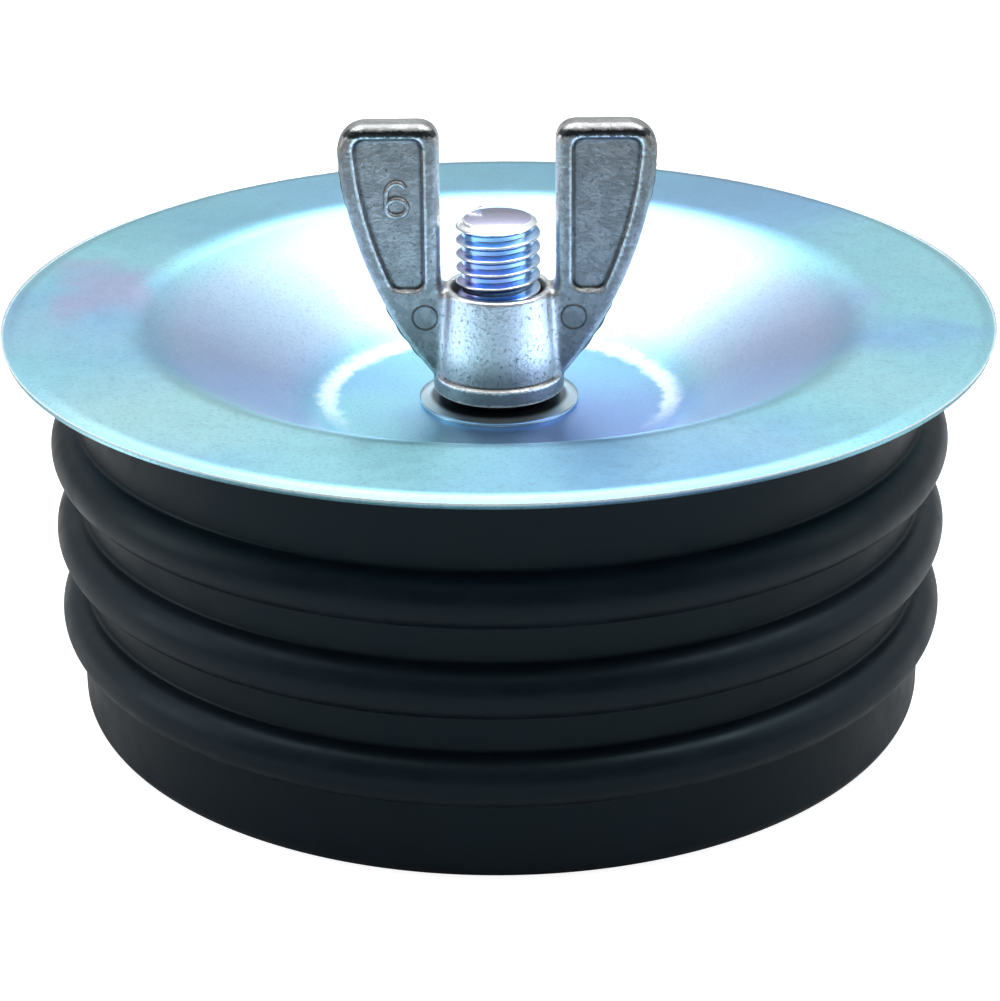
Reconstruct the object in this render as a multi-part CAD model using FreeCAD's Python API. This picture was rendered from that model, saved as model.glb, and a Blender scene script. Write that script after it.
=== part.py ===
"""Pipe expansion plug for a nominal four inch pipe.

Two dished steel plates squeeze a beaded rubber ring between them. A carriage bolt
comes up through both, and a die-cast wing nut on a washer pulls the top plate down,
so that the rubber bulges out against the pipe.

Millimetres, +Z up the bolt. Z = 0 is the plane of the rubber's lower lip, on which
the plug stands, and the origin is on the bolt's axis. The wings lie along X.
"""
import FreeCAD
import Part
import math
import os

Vector = FreeCAD.Vector
ORIGIN = Vector(0, 0, 0)
UP = Vector(0, 0, 1)

# Rubber ring
RING_HEIGHT = 44.7
RING_RADIUS = 47.5
RING_WALL = 17.5
BEAD_COUNT = 3
BEAD_PITCH = 10.03
BEAD_RADIUS = 2.98
TOP_BEAD_DROP = 12.86
HEM_THICKNESS = 0.93
HEM_EDGE_ROUND = 2.0
LIP_THICKNESS = 4.13
LIP_DROP = 0.6
BORE_EDGE_ROUND = 1.0

# Pressed plates
SHEET_THICKNESS = 0.9
FLANGE_OVERHANG = 7.5
FLANGE_SEAT_WIDTH = 7.0
DISH_CONE_WIDTH = 20.5
TOP_DISH_DEPTH = 11.4
LOWER_DISH_DEPTH = 10.45
MOUTH_BEND_RADIUS = 7.0
FLOOR_BEND_RADIUS = 6.4
SHEARED_EDGE_ROUND = 0.2

# Carriage bolt, three eighths of an inch by one and three quarters
BOLT_RADIUS = 4.72
BOLT_LENGTH = 44.45
TIP_CHAMFER = 1.1
NECK_OVERSIZE = 0.06
NECK_LENGTH = 4.8
NECK_CORNER_ROUND = 0.8
HEAD_OVERHANG = 5.88
HEAD_HEIGHT = 4.8
HEAD_EDGE = 0.9

# Washer
WASHER_RIM = 3.83
WASHER_THICKNESS = 0.75
WASHER_EDGE_ROUND = 0.2

# Wing nut, heights measured from its seat on the washer
SEAT_BOSS_WALL = 1.43
SEAT_BOSS_HEIGHT = 0.75
COLLAR_WALL = 2.59
COLLAR_HEIGHT = 2.0
COLLAR_EDGE_ROUND = 0.3
HUB_BASE_WALL = 2.18
HUB_TOP_WALL = 1.48
HUB_HEIGHT = 12.75
HUB_EDGE_ROUND = 0.35
THREAD_CHAMFER = 0.6
WING_TIP_HEIGHT = 31.65
WING_HALF_SPAN = 17.6
WING_STEP = 0.1
WING_THICKNESS = 4.1
WING_FOOT_OVERHANG = 0.1
WING_OUTER_CORNER = 3.2
WING_INNER_CORNER = 2.2
WING_ROOT_ROUND = 0.8
WING_EDGE_ROUND = 1.1
PANEL_SIDE_RIM = 1.75
PANEL_TOP_RIM = 1.45
PANEL_FLOOR_WIDTH = 3.5
PANEL_DEPTH = 0.5
PANEL_CORNER_ROUND = 1.2
PANEL_FLOOR_ROUND = 0.45

# Fits
RUBBER_CLEARANCE = 0.3
BOLT_HOLE_CLEARANCE = 0.45
NECK_CLEARANCE = 0.1
THREAD_CLEARANCE = 0.05

# Heights and sizes that follow from the above
HEM_RADIUS = RING_RADIUS + HEM_THICKNESS
RING_BORE_RADIUS = RING_RADIUS - RING_WALL
LIP_INNER_RADIUS = HEM_RADIUS - LIP_THICKNESS
LOWER_FLANGE_RADIUS = LIP_INNER_RADIUS - RUBBER_CLEARANCE
TOP_FLANGE_RADIUS = RING_RADIUS + FLANGE_OVERHANG
DISH_MOUTH_RADIUS = RING_RADIUS - FLANGE_SEAT_WIDTH
DISH_FLOOR_RADIUS = DISH_MOUTH_RADIUS - DISH_CONE_WIDTH
LOWER_DISH_FACE_Z = LIP_DROP + LOWER_DISH_DEPTH
TOP_FLANGE_Z = RING_HEIGHT + SHEET_THICKNESS
WASHER_Z = TOP_FLANGE_Z - TOP_DISH_DEPTH
NUT_Z = WASHER_Z + WASHER_THICKNESS
BOLT_HOLE_RADIUS = BOLT_RADIUS + BOLT_HOLE_CLEARANCE
THREAD_BORE_RADIUS = BOLT_RADIUS + THREAD_CLEARANCE
NECK_WIDTH = 2 * BOLT_RADIUS + NECK_OVERSIZE
HEAD_RADIUS = BOLT_RADIUS + HEAD_OVERHANG
WASHER_RADIUS = BOLT_HOLE_RADIUS + WASHER_RIM
SEAT_BOSS_RADIUS = THREAD_BORE_RADIUS + SEAT_BOSS_WALL
COLLAR_RADIUS = THREAD_BORE_RADIUS + COLLAR_WALL
HUB_BASE_RADIUS = THREAD_BORE_RADIUS + HUB_BASE_WALL
HUB_TOP_RADIUS = THREAD_BORE_RADIUS + HUB_TOP_WALL
COLLAR_TOP = SEAT_BOSS_HEIGHT + COLLAR_HEIGHT
WING_INNER_X = HUB_TOP_RADIUS + WING_STEP

# The wing's back stands upright at the tip and meets the collar just outside its edge
WING_HEIGHT = WING_TIP_HEIGHT - COLLAR_TOP
WING_LEAN = WING_HALF_SPAN - COLLAR_RADIUS - WING_FOOT_OVERHANG
WING_BACK_ARC = (WING_LEAN ** 2 + WING_HEIGHT ** 2) / (2 * WING_LEAN)

# The panel ends at the height where the wing leaves it its floor's width
PANEL_BACK_ARC = WING_BACK_ARC - PANEL_SIDE_RIM
PANEL_FLOOR_END = WING_INNER_X + PANEL_SIDE_RIM + PANEL_FLOOR_WIDTH
PANEL_FLOOR_REACH = PANEL_FLOOR_END + WING_BACK_ARC - WING_HALF_SPAN
PANEL_FLOOR_HEIGHT = WING_TIP_HEIGHT - math.sqrt(PANEL_BACK_ARC ** 2 - PANEL_FLOOR_REACH ** 2)


def on_profile(point):
    """A (radius, height) pair as a point of the half plane that is turned about the axis."""
    return Vector(point[0], 0, point[1])


def on_wing_plane(point):
    """An (x, height) pair as a point of the plane on which a wing's outline is drawn."""
    return Vector(point[0], -WING_THICKNESS / 2, point[1])


def bent_path(corners):
    """Points and tangent arcs along (radius, height, bend radius) corners, as open edges."""
    edges = []
    here = on_profile(corners[0])
    for before, corner, after in zip(corners, corners[1:], corners[2:]):
        apex = on_profile(corner)
        back = (on_profile(before) - apex).normalize()
        ahead = (on_profile(after) - apex).normalize()
        half_turn = (math.pi - back.getAngle(ahead)) / 2
        reach = corner[2] * math.tan(half_turn)
        inward = (back + ahead).normalize()
        middle = apex + inward * (corner[2] / math.cos(half_turn) - corner[2])
        start = apex + back * reach
        end = apex + ahead * reach
        edges.append(Part.makeLine(here, start))
        edges.append(Part.Arc(start, middle, end).toShape())
        here = end
    edges.append(Part.makeLine(here, on_profile(corners[-1])))
    return edges


def parallel_path(corners, gap):
    """The same bent path on the other side of a sheet, its bends on the same centres."""
    points = [on_profile(corner) for corner in corners]
    runs = [(b - a).normalize() for a, b in zip(points, points[1:])]
    sides = [Vector(run.z, 0, -run.x) for run in runs]
    moved = []
    for index, point in enumerate(points):
        first = sides[max(index - 1, 0)]
        second = sides[min(index, len(sides) - 1)]
        step = (first + second) * (gap / (1 + first.dot(second)))
        bend = 0
        if 0 < index < len(points) - 1:
            turns_to_side = runs[index].dot(first) > 0
            bend = corners[index][2] + (-gap if turns_to_side else gap)
        moved.append((point.x + step.x, point.z + step.z, bend))
    return moved


def turned(edges):
    """The solid swept by a closed profile once round the axis."""
    return Part.Face(Part.Wire(edges)).revolve(ORIGIN, UP, 360)


def polygon_edges(points, place):
    """Straight edges between the given points."""
    return [Part.makeLine(place(a), place(b)) for a, b in zip(points, points[1:])]


def edges_where(shape, test):
    """The edges of a shape whose middle point passes the test."""
    return [edge for edge in shape.Edges if test(edge.CenterOfMass, edge)]


def dished_plate(flange_radius, depth):
    """A round sheet with a flat flange and a dish sunk below it, the flange's face at Z = 0."""
    upper = [
        (flange_radius, 0, 0),
        (DISH_MOUTH_RADIUS, 0, MOUTH_BEND_RADIUS),
        (DISH_FLOOR_RADIUS, -depth, FLOOR_BEND_RADIUS),
        (0, -depth, 0),
    ]
    lower = parallel_path(upper, -SHEET_THICKNESS)
    rim = [(flange_radius, 0), (flange_radius, -SHEET_THICKNESS)]
    axis = [(0, -depth), (0, -depth - SHEET_THICKNESS)]
    edges = bent_path(upper) + bent_path(lower)
    edges += polygon_edges(rim, on_profile) + polygon_edges(axis, on_profile)
    plate = turned(Part.__sortEdges__(edges))
    sheared = edges_where(plate, lambda middle, edge: is_circle_of(edge, flange_radius))
    return plate.makeFillet(SHEARED_EDGE_ROUND, sheared)


def is_circle_of(edge, radius):
    """Whether an edge is a full circle of this radius."""
    return isinstance(edge.Curve, Part.Circle) and abs(edge.Curve.Radius - radius) < 1e-6


def bolt_hole(radius, z, thickness):
    """A cutter for a round hole on the axis through a sheet whose top is at z."""
    return Part.makeCylinder(radius, 2 * thickness, Vector(0, 0, z - 1.5 * thickness))


def make_top_plate():
    plate = dished_plate(TOP_FLANGE_RADIUS, TOP_DISH_DEPTH)
    plate = plate.cut(bolt_hole(BOLT_HOLE_RADIUS, -TOP_DISH_DEPTH, SHEET_THICKNESS))
    plate.translate(Vector(0, 0, TOP_FLANGE_Z))
    return plate


def make_bottom_plate():
    """The same pressing upside down, with a square hole that keeps the bolt from turning."""
    plate = dished_plate(LOWER_FLANGE_RADIUS, LOWER_DISH_DEPTH)
    width = NECK_WIDTH + 2 * NECK_CLEARANCE
    depth = 3 * SHEET_THICKNESS
    corner = Vector(-width / 2, -width / 2, -LOWER_DISH_DEPTH - depth / 2)
    plate = plate.cut(Part.makeBox(width, width, depth, corner))
    plate.rotate(ORIGIN, Vector(1, 0, 0), 180)
    plate.translate(Vector(0, 0, LIP_DROP))
    return plate


def seat_corners(depth, face_z, facing):
    """The rubber's flat seat and cone against a plate, from the flat's inner end to the bore.

    facing is 1 for the top plate, whose dish goes down, and -1 for the lower one.
    """
    slope = depth / (DISH_MOUTH_RADIUS - DISH_FLOOR_RADIUS)
    angle = math.atan(slope)
    mouth = DISH_MOUTH_RADIUS + SHEET_THICKNESS * math.tan(angle / 2)
    mouth += RUBBER_CLEARANCE / math.sin(angle)
    bore_z = face_z - facing * (mouth - RING_BORE_RADIUS) * slope
    return (mouth, face_z, MOUTH_BEND_RADIUS), (RING_BORE_RADIUS, bore_z, BORE_EDGE_ROUND)


def bead_edges():
    """The outside of the ring from its top edge down to the hem, with its half-round beads."""
    edges = []
    here = (RING_RADIUS, RING_HEIGHT)
    hem_drop = math.sqrt(BEAD_RADIUS ** 2 - HEM_THICKNESS ** 2)
    for index in range(BEAD_COUNT):
        centre = RING_HEIGHT - TOP_BEAD_DROP - index * BEAD_PITCH
        start = (RING_RADIUS, centre + BEAD_RADIUS)
        crest = (RING_RADIUS + BEAD_RADIUS, centre)
        end = (RING_RADIUS, centre - BEAD_RADIUS)
        if index == BEAD_COUNT - 1:
            end = (HEM_RADIUS, centre - hem_drop)
        edges += polygon_edges([here, start], on_profile)
        edges.append(Part.Arc(on_profile(start), on_profile(crest), on_profile(end)).toShape())
        here = end
    return edges, here


def make_rubber_ring():
    """The beaded ring, seated under the top flange and round the lower plate."""
    seat_top, bore_top = seat_corners(TOP_DISH_DEPTH, RING_HEIGHT, 1)
    lower_face = LIP_DROP + SHEET_THICKNESS
    seat_low, bore_low = seat_corners(LOWER_DISH_DEPTH, lower_face, -1)
    outside, hem_top = bead_edges()
    inside = bent_path([
        (LIP_INNER_RADIUS, lower_face, 0),
        seat_low,
        bore_low,
        bore_top,
        seat_top,
        (RING_RADIUS, RING_HEIGHT, 0),
    ])
    under = bent_path([
        (hem_top[0], hem_top[1], 0),
        (HEM_RADIUS, 0, HEM_EDGE_ROUND),
        (LIP_INNER_RADIUS, 0, 0),
    ])
    lip_points = [(LIP_INNER_RADIUS, 0), (LIP_INNER_RADIUS, lower_face)]
    lip = polygon_edges(lip_points, on_profile)
    return turned(Part.__sortEdges__(outside + inside + under + lip))


def make_carriage_bolt():
    """Domed head below the lower plate, square neck through it, and a shank with a chamfered tip."""
    dome_height = HEAD_HEIGHT - HEAD_EDGE
    dome_radius = (HEAD_RADIUS ** 2 + dome_height ** 2) / (2 * dome_height)
    dome_centre = dome_radius - HEAD_HEIGHT
    half_angle = math.asin(HEAD_RADIUS / dome_radius) / 2
    dome_middle = (
        dome_radius * math.sin(half_angle),
        dome_centre - dome_radius * math.cos(half_angle),
    )
    crown = (0, -HEAD_HEIGHT)
    edge_low = (HEAD_RADIUS, -HEAD_EDGE)
    arc = Part.Arc(on_profile(crown), on_profile(dome_middle), on_profile(edge_low)).toShape()
    rest = polygon_edges([
        edge_low,
        (HEAD_RADIUS, 0),
        (BOLT_RADIUS, 0),
        (BOLT_RADIUS, BOLT_LENGTH - TIP_CHAMFER),
        (BOLT_RADIUS - TIP_CHAMFER, BOLT_LENGTH),
        (0, BOLT_LENGTH),
        crown,
    ], on_profile)
    bolt = turned([arc] + rest)
    half = NECK_WIDTH / 2
    neck = Part.makeBox(NECK_WIDTH, NECK_WIDTH, NECK_LENGTH, Vector(-half, -half, 0))
    upright = edges_where(neck, lambda middle, edge: abs(middle.z - NECK_LENGTH / 2) < 1e-6)
    bolt = bolt.fuse(neck.makeFillet(NECK_CORNER_ROUND, upright)).removeSplitter()
    bolt.translate(Vector(0, 0, LOWER_DISH_FACE_Z))
    return bolt


def make_washer():
    washer = Part.makeCylinder(WASHER_RADIUS, WASHER_THICKNESS)
    rims = edges_where(washer, lambda middle, edge: is_circle_of(edge, WASHER_RADIUS))
    washer = washer.makeFillet(WASHER_EDGE_ROUND, rims)
    washer = washer.cut(bolt_hole(BOLT_HOLE_RADIUS, WASHER_THICKNESS, WASHER_THICKNESS))
    washer.translate(Vector(0, 0, WASHER_Z))
    return washer


def nut_hub():
    """Seat boss, collar and tapered hub as one turned piece, still without its thread."""
    corners = [
        (0, 0, 0),
        (SEAT_BOSS_RADIUS, 0, COLLAR_EDGE_ROUND / 2),
        (SEAT_BOSS_RADIUS, SEAT_BOSS_HEIGHT, COLLAR_EDGE_ROUND / 2),
        (COLLAR_RADIUS, SEAT_BOSS_HEIGHT, COLLAR_EDGE_ROUND),
        (COLLAR_RADIUS, COLLAR_TOP, COLLAR_EDGE_ROUND / 2),
        (HUB_BASE_RADIUS, COLLAR_TOP, COLLAR_EDGE_ROUND / 2),
        (HUB_TOP_RADIUS, HUB_HEIGHT, HUB_EDGE_ROUND),
        (0, HUB_HEIGHT, 0),
    ]
    axis = polygon_edges([(0, HUB_HEIGHT), (0, 0)], on_profile)
    return turned(bent_path(corners) + axis)


def back_arc_x(height, inset):
    """How far out the wing's curved back, or a curve inset from it, lies at a height."""
    radius = WING_BACK_ARC - inset
    return WING_HALF_SPAN - WING_BACK_ARC + math.sqrt(radius ** 2 - (WING_TIP_HEIGHT - height) ** 2)


def wing_outline(inner_x, top, bottom, inset):
    """Corner points of a wing or its panel, with the middle point of its curved back."""
    middle_height = (top + bottom) / 2
    return {
        "inner_low": (inner_x, bottom),
        "inner_top": (inner_x, top),
        "outer_top": (back_arc_x(top, inset), top),
        "outer_low": (back_arc_x(bottom, inset), bottom),
        "back_middle": (back_arc_x(middle_height, inset), middle_height),
    }


def back_arc(outline):
    """The curved back of an outline as an edge."""
    points = [outline[name] for name in ("outer_top", "back_middle", "outer_low")]
    return Part.Arc(*[on_wing_plane(point) for point in points]).toShape()


def make_wing():
    """One wing of the nut, rounded all round, with a sunk panel on both faces.

    It starts half way down inside the collar.
    """
    foot = COLLAR_TOP - COLLAR_HEIGHT / 2
    outline = wing_outline(WING_INNER_X, WING_TIP_HEIGHT, foot, 0)
    root_x = THREAD_BORE_RADIUS
    straight = polygon_edges([
        outline["outer_low"],
        (root_x, foot),
        (root_x, HUB_HEIGHT),
        (WING_INNER_X, HUB_HEIGHT),
        outline["inner_top"],
        outline["outer_top"],
    ], on_wing_plane)
    face = Part.Face(Part.Wire(straight + [back_arc(outline)]))
    wing = face.extrude(Vector(0, WING_THICKNESS, 0))
    rounds = [
        (outline["outer_top"], WING_OUTER_CORNER),
        (outline["inner_top"], WING_INNER_CORNER),
        ((WING_INNER_X, HUB_HEIGHT), WING_ROOT_ROUND),
    ]
    for corner, radius in rounds:
        wing = wing.makeFillet(radius, cross_edges(wing, corner))
    outside = edges_where(wing, is_on_wing_rim)
    wing = wing.makeFillet(WING_EDGE_ROUND, outside)
    pocket = panel_pocket()
    across = pocket.mirror(ORIGIN, Vector(0, 1, 0))
    return wing.cut(pocket).cut(across)


def cross_edges(shape, corner):
    """The edges that run through the wing's thickness at an (x, height) corner."""
    return edges_where(
        shape,
        lambda middle, edge: abs(middle.x - corner[0]) + abs(middle.z - corner[1]) < 1e-3,
    )


def is_on_wing_rim(middle, edge):
    """Whether an edge bounds the wing's front or back face outside the hub."""
    on_face = abs(abs(middle.y) - WING_THICKNESS / 2) < 1e-6
    return on_face and middle.z > COLLAR_TOP and edge.BoundBox.XMax > WING_INNER_X + 1e-3


def panel_pocket():
    """The cutter for the sunk panel on the front of a wing."""
    outline = wing_outline(
        WING_INNER_X + PANEL_SIDE_RIM,
        WING_TIP_HEIGHT - PANEL_TOP_RIM,
        PANEL_FLOOR_HEIGHT,
        PANEL_SIDE_RIM,
    )
    names = ("outer_low", "inner_low", "inner_top", "outer_top")
    straight = polygon_edges([outline[name] for name in names], on_wing_plane)
    face = Part.Face(Part.Wire(straight + [back_arc(outline)]))
    pocket = face.extrude(Vector(0, PANEL_DEPTH, 0))
    upright = [edge for name in names for edge in cross_edges(pocket, outline[name])]
    pocket = pocket.makeFillet(PANEL_CORNER_ROUND, upright)
    floor_y = PANEL_DEPTH - WING_THICKNESS / 2
    floor = edges_where(pocket, lambda middle, edge: abs(middle.y - floor_y) < 1e-6)
    return pocket.makeFillet(PANEL_FLOOR_ROUND, floor)


def make_wing_nut():
    """Hub and two wings in one casting, bored for the bolt."""
    right = make_wing()
    left = right.mirror(ORIGIN, Vector(1, 0, 0))
    nut = nut_hub().fuse([right, left]).removeSplitter()
    bore = Part.makeCylinder(THREAD_BORE_RADIUS, HUB_HEIGHT)
    mouth_radius = THREAD_BORE_RADIUS + THREAD_CHAMFER
    low_mouth = Part.makeCone(mouth_radius, THREAD_BORE_RADIUS, THREAD_CHAMFER)
    top_mouth = Part.makeCone(
        THREAD_BORE_RADIUS, mouth_radius, THREAD_CHAMFER, Vector(0, 0, HUB_HEIGHT - THREAD_CHAMFER)
    )
    nut = nut.cut(bore.fuse([low_mouth, top_mouth]))
    nut.translate(Vector(0, 0, NUT_Z))
    return nut


NODES = {
    "top_plate": make_top_plate,
    "bottom_plate": make_bottom_plate,
    "rubber_ring": make_rubber_ring,
    "carriage_bolt": make_carriage_bolt,
    "washer": make_washer,
    "wing_nut": make_wing_nut,
}


def main():
    os.makedirs("parts", exist_ok=True)
    for name, make in NODES.items():
        shape = make()
        if not shape.isValid() or len(shape.Solids) != 1:
            raise ValueError(f"{name} is not one valid solid")
        shape.Solids[0].exportStep(f"parts/{name}.step")
        box = shape.BoundBox
        print(f"{name}: {shape.Volume:.0f} mm3, Z {box.ZMin:.2f} to {box.ZMax:.2f}, X to {box.XMax:.2f}")


main()
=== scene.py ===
"""Looks of a pipe expansion plug, dressed over its CAD frame.

Metres, +Z up the bolt, wings along X, the viewer at -Y. Sizes in the property groups
are metres too. Heights called drops are measured downwards.
"""

import math

import bmesh
import bpy
from bpy.props import FloatProperty, FloatVectorProperty, IntProperty
from mathutils import Matrix, Vector


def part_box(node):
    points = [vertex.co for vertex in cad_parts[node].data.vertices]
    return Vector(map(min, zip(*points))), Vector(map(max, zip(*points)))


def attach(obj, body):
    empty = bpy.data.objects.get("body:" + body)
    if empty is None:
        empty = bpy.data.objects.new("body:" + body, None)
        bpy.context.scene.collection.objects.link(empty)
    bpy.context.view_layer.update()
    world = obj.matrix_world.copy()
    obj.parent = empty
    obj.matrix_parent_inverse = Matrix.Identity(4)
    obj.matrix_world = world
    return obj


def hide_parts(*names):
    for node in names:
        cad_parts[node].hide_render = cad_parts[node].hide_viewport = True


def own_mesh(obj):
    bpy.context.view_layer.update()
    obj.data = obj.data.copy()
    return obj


bl_info = {
    "name": "Pipe expansion plug",
    "version": (1, 0, 0),
    "blender": (4, 5, 0),
    "location": "3D View > Sidebar > Pipe plug",
    "description": "Dresses the CAD frame of a pipe expansion plug with its detailed pieces",
    "category": "Add Mesh",
}

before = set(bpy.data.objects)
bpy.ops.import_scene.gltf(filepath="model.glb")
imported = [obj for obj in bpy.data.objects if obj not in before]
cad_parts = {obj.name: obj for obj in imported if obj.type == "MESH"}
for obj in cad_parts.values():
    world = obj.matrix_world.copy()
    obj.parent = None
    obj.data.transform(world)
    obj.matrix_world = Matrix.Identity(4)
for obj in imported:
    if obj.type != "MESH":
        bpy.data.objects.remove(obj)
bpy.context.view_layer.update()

TOP_LOW, TOP_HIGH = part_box("top_plate")
WASHER_LOW, WASHER_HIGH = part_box("washer")
NUT_LOW, NUT_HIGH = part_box("wing_nut")
BOLT_LOW, BOLT_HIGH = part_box("carriage_bolt")
RING_LOW, RING_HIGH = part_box("rubber_ring")
SHEET = 0.0009
LONGEST_STEP = 0.0012

# Patches of the plating's sheen: centre, spread, tint and strength
SHEEN_PATCHES = (
    ((0.0000, 0.0500, 0.0456), (0.0480, 0.0160, 0.02), (0.17, 0.46, 0.54), 0.60),
    ((-0.0400, 0.0330, 0.0456), (0.0260, 0.0160, 0.02), (0.20, 0.50, 0.58), 0.60),
    ((0.0330, 0.0400, 0.0456), (0.0260, 0.0140, 0.02), (0.19, 0.38, 0.58), 0.60),
    ((-0.0360, -0.0330, 0.0456), (0.0300, 0.0180, 0.02), (0.42, 0.68, 0.70), 0.50),
    ((-0.0458, 0.0050, 0.0456), (0.0066, 0.0150, 0.01), (0.44, 0.40, 0.62), 0.65),
    ((-0.0290, -0.0060, 0.0390), (0.0110, 0.0180, 0.02), (0.24, 0.36, 0.76), 0.75),
    ((0.0330, -0.0010, 0.0400), (0.0120, 0.0190, 0.02), (0.32, 0.38, 0.72), 0.75),
    ((0.0100, -0.0080, 0.0342), (0.0260, 0.0200, 0.004), (0.24, 0.36, 0.72), 0.85),
)
# Area lights: name, place, target, size and power
STUDIO_LIGHTS = (
    ("overhead_box", (-0.04, 0.36, 0.72), (0, 0.01, 0.04), (0.60, 0.55), 3.5),
    ("front_box", (0.0, -0.30, 0.74), (0, 0, 0.04), (0.50, 0.36), 0.6),
    ("left_top_box", (-0.34, 0.0, 0.76), (0, 0, 0.04), (0.34, 0.45), 2.6),
    ("right_top_box", (0.34, 0.0, 0.76), (0, 0, 0.04), (0.34, 0.45), 4.4),
    ("left_box", (-0.85, -0.02, 0.34), (0, 0, 0.04), (0.35, 0.5), 1.5),
    ("right_box", (0.85, -0.02, 0.34), (0, 0, 0.04), (0.35, 0.5), 0.7),
)

# Stretches of flash on the back of a wing: lowest and highest point, and how proud it stands
FLASH_STRETCHES = ((0.0564, 0.0618, 0.00020), (0.0383, 0.0456, 0.00048))


# Property groups


def length(name, default, description):
    return FloatProperty(name=name, default=default, description=description,
                         subtype="DISTANCE", unit="LENGTH", precision=5)


def colour(name, default, description):
    return FloatVectorProperty(name=name, default=default, description=description,
                               subtype="COLOR", size=3, min=0.0, max=1.0)


class PlugRingSettings(bpy.types.PropertyGroup):
    """The beaded rubber ring"""

    radius: length("Band radius", 0.0475, "Radius of the ring between its beads")
    bead_radius: length("Bead radius", 0.00298, "Radius of each half-round bead")
    bead_pitch: length("Bead pitch", 0.01003, "Height from one bead to the next")
    top_bead_drop: length("Top bead drop", 0.01286, "From the ring's top down to the first bead")
    bead_count: IntProperty(name="Beads", default=3, min=1, max=5,
                            description="How many beads run round the ring")
    crease_round: length("Crease round", 0.00035, "Fillet where a bead meets the band")
    hem_thickness: length("Hem thickness", 0.00093, "How far the hem stands out from the band")
    hem_round: length("Hem round", 0.002, "Rounding of the hem's lower edge")
    bore_radius: length("Bore radius", 0.030, "Radius of the ring's hole")
    lip_width: length("Lip width", 0.00413, "Width of the lip that the ring stands on")
    lower_face: length("Lower face", 0.0015, "Height of the face that the lower plate lies on")
    seat_radius: length("Seat radius", 0.0413, "Where both faces turn down into their cones")
    lower_slope: FloatProperty(name="Lower slope", default=0.917, min=0.0, max=2.0,
                               description="Slope of the lower cone against the upper one's")
    segments: IntProperty(name="Segments", default=288, min=32, max=512,
                          description="Steps round the ring")
    black: colour("Rubber", (0.0056, 0.0105, 0.0165), "Colour of the rubber")


class PlugPlateSettings(bpy.types.PropertyGroup):
    """The top plate and its washer"""

    mouth_radius: length("Mouth radius", 0.0405, "Where the flange turns down into the dish")
    floor_radius: length("Floor radius", 0.020, "Where the cone meets the dish's floor")
    dish_depth: length("Dish depth", 0.0114, "From the flange down to the dish's floor")
    mouth_bend: length("Mouth bend", 0.007, "Bend radius at the mouth")
    floor_bend: length("Floor bend", 0.0064, "Bend radius at the floor")
    hole_radius: length("Hole radius", 0.00517, "Radius of the hole for the bolt")
    segments: IntProperty(name="Segments", default=320, min=32, max=512,
                          description="Steps round the plate")
    teal: colour("Teal sheen", (0.29, 0.63, 0.72), "Zinc plating where it looks green")
    blue: colour("Blue sheen", (0.24, 0.50, 0.76), "Zinc plating where it looks blue")
    lavender: colour("Lavender sheen", (0.46, 0.54, 0.74), "Zinc plating on the dish's cone")
    pale: colour("Pale sheen", (0.42, 0.68, 0.74), "Zinc plating where it looks white")


class PlugBoltSettings(bpy.types.PropertyGroup):
    """The carriage bolt"""

    pitch: length("Thread pitch", 0.0015875, "Height of one turn of the thread")
    root_radius: length("Root radius", 0.00398, "Radius at the bottom of the thread")
    crest_radius: length("Crest radius", 0.00472, "Radius over the thread's crests")
    tip_radius: length("Tip radius", 0.0038, "Radius of the flat end above the thread")
    chamfer_slope: FloatProperty(name="Chamfer slope", default=1.7, min=0.1, max=10.0,
                                 description="Widening of the end's chamfer per height")
    thread_start: length("Thread start", 0.0205, "Height at which the thread runs out")
    length: length("Length", 0.04445, "From under the head to the end")
    head_edge: length("Head edge", 0.0009, "Height of the head's upright edge")
    neck_width: length("Neck width", 0.0095, "Width of the square neck")
    neck_height: length("Neck height", 0.0048, "Height of the square neck")
    neck_corner: length("Neck corner", 0.0008, "Rounding of the neck's corners")
    burr_radius: length("Burr radius", 0.00020, "Half the thickness of the thread's burr")
    segments: IntProperty(name="Segments", default=96, min=24, max=256,
                          description="Steps in one turn of the thread")
    steps: IntProperty(name="Steps", default=20, min=6, max=64,
                       description="Steps from one crest to the next")


class PlugNutSettings(bpy.types.PropertyGroup):
    """The die-cast wing nut"""

    voxel: length("Grain", 0.00016, "Size of the cells the casting is rebuilt from")
    root_passes: IntProperty(name="Root passes", default=60, min=0, max=400,
                             description="Smoothing passes in the corner between hub and wing")
    skin_passes: IntProperty(name="Skin passes", default=2, min=0, max=40,
                             description="Smoothing passes over the whole casting")
    half_wing: length("Half wing", 0.00205, "Half a wing's thickness")
    hub_radius: length("Hub radius", 0.0062, "Radius of the hub where the wings meet it")
    corner_low: length("Corner low", 0.0027, "Foot of the softened corner, above the nut's foot")
    corner_high: length("Corner high", 0.0128, "Top of the softened corner, above the nut's foot")
    # Full relief means rubbing with a painted highlight on bulges, and grime with painted shade in
    # hollows.
    corner_reach: length("Corner reach", 0.0014, "How far the softening spreads from the corner")
    wear_depth: length("Wear depth", 0.00006, "Bulge or hollow that counts as fully worn or grimy")
    pin_stroke: length("Pin stroke", 0.00014, "Half the thickness of the pin marks' rings")
    number_stroke: length("Number stroke", 0.00031, "Half the thickness of the raised number")
    zinc: colour("Cast zinc", (0.315, 0.32, 0.32), "Colour of the casting")


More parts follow.
